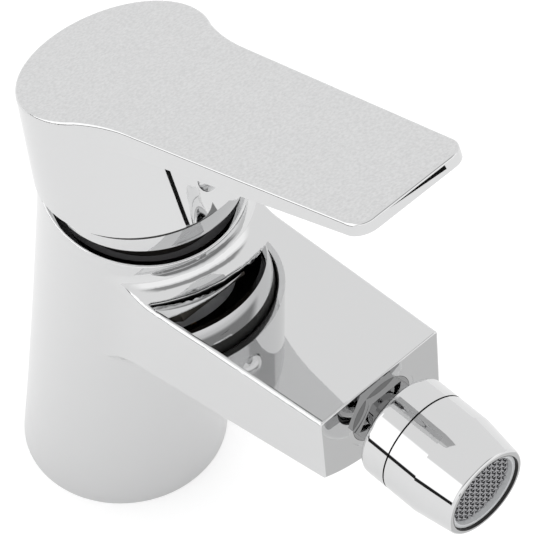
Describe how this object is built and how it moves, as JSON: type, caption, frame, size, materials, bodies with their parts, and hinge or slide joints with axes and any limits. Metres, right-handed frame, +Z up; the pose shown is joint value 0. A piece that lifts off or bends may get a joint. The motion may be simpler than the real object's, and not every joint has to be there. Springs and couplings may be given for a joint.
{
  "type": "bidet mixer tap",
  "caption": "Single-lever bidet mixer with a forward-leaning round column, short crowned spout and ball-jointed spray head.",
  "frame": {"origin": "centre of the column's base on the deck", "axes": "+Z up from the deck, spout and lever point along -Y, +X to the user's left when facing the spout"},
  "size_m": [0.0516, 0.157, 0.1846],
  "materials": {
    "chrome": "polished",
    "black_rubber": "matt",
    "black_plastic": "satin",
    "dark_plastic": "satin",
    "brass": "machined",
    "cartridge_plastic": "moulded",
    "ceramic": "lapped",
    "steel": "plain",
    "insert_plastic": "moulded",
    "mesh_steel": "woven"
  },
  "bodies": {
    "tap_body": {"body": "chrome", "base_gasket": "black_rubber", "slide_ring": "black_plastic", "cartridge_nut": "brass", "cartridge_housing": "cartridge_plastic", "housing_seal": "black_rubber", "cartridge_base": "cartridge_plastic", "inlet_seals": "black_rubber", "fixed_disc": "ceramic", "nipple": "chrome", "nipple_washer": "black_rubber"},
    "carrier": {"rotor": "dark_plastic", "pivot_pin": "steel"},
    "lever": {"handle": "chrome", "stem": "brass", "set_screw": "steel", "screw_plug": "chrome"},
    "cap_float": {"dome_cap": "chrome"},
    "disc_carriage": {"disc_coupler": "dark_plastic", "moving_disc": "ceramic"},
    "swivel_yaw": {"slip_ring": "dark_plastic"},
    "swivel_pitch": {"seat_seal": "black_rubber"},
    "spray_head": {"collar": "chrome", "aerator_housing": "chrome", "aerator_washer": "black_rubber", "aerator_diffuser": "insert_plastic", "aerator_cage": "insert_plastic", "aerator_mesh": "mesh_steel"}
  },
  "joints": [
    {"name": "handle_turn", "type": "hinge", "parent": "tap_body", "child": "carrier", "pos_m": [0, -0.02456, 0.1217], "axis": [0, -0.1978, 0.9802], "range_deg": [-50, 50]},
    {"name": "handle_lift", "type": "hinge", "parent": "carrier", "child": "lever", "pos_m": [0, -0.02456, 0.1217], "axis": [-1, 0, 0], "range_deg": [-23.3, 1.2]},
    {"name": "cap_tilt", "type": "hinge", "parent": "carrier", "child": "cap_float", "pos_m": [0, -0.02456, 0.1217], "axis": [-1, 0, 0], "range_deg": [-10.2, 0.6]},
    {"name": "disc_slide", "type": "slide", "parent": "carrier", "child": "disc_carriage", "axis": [0, 0.9802, 0.1978], "range_m": [-0.0005, 0.0073]},
    {"name": "spray_yaw", "type": "hinge", "parent": "tap_body", "child": "swivel_yaw", "pos_m": [0, -0.1115, 0.09809], "axis": [0, -0.0148, 0.9999], "range_deg": [-15, 15]},
    {"name": "spray_pitch", "type": "hinge", "parent": "swivel_yaw", "child": "swivel_pitch", "pos_m": [0, -0.1115, 0.09809], "axis": [-1, 0, 0], "range_deg": [-15, 15]},
    {"name": "spray_spin", "type": "hinge", "parent": "swivel_pitch", "child": "spray_head", "pos_m": [0, -0.1115, 0.09809], "axis": [0, -0.9999, -0.0148], "continuous": true}
  ],
  "couplings": [
    {"joint": "cap_tilt", "follows": "handle_lift", "ratio": 0.4292},
    {"joint": "disc_slide", "follows": "handle_lift", "m_per_rad": -0.017507}
  ]
}
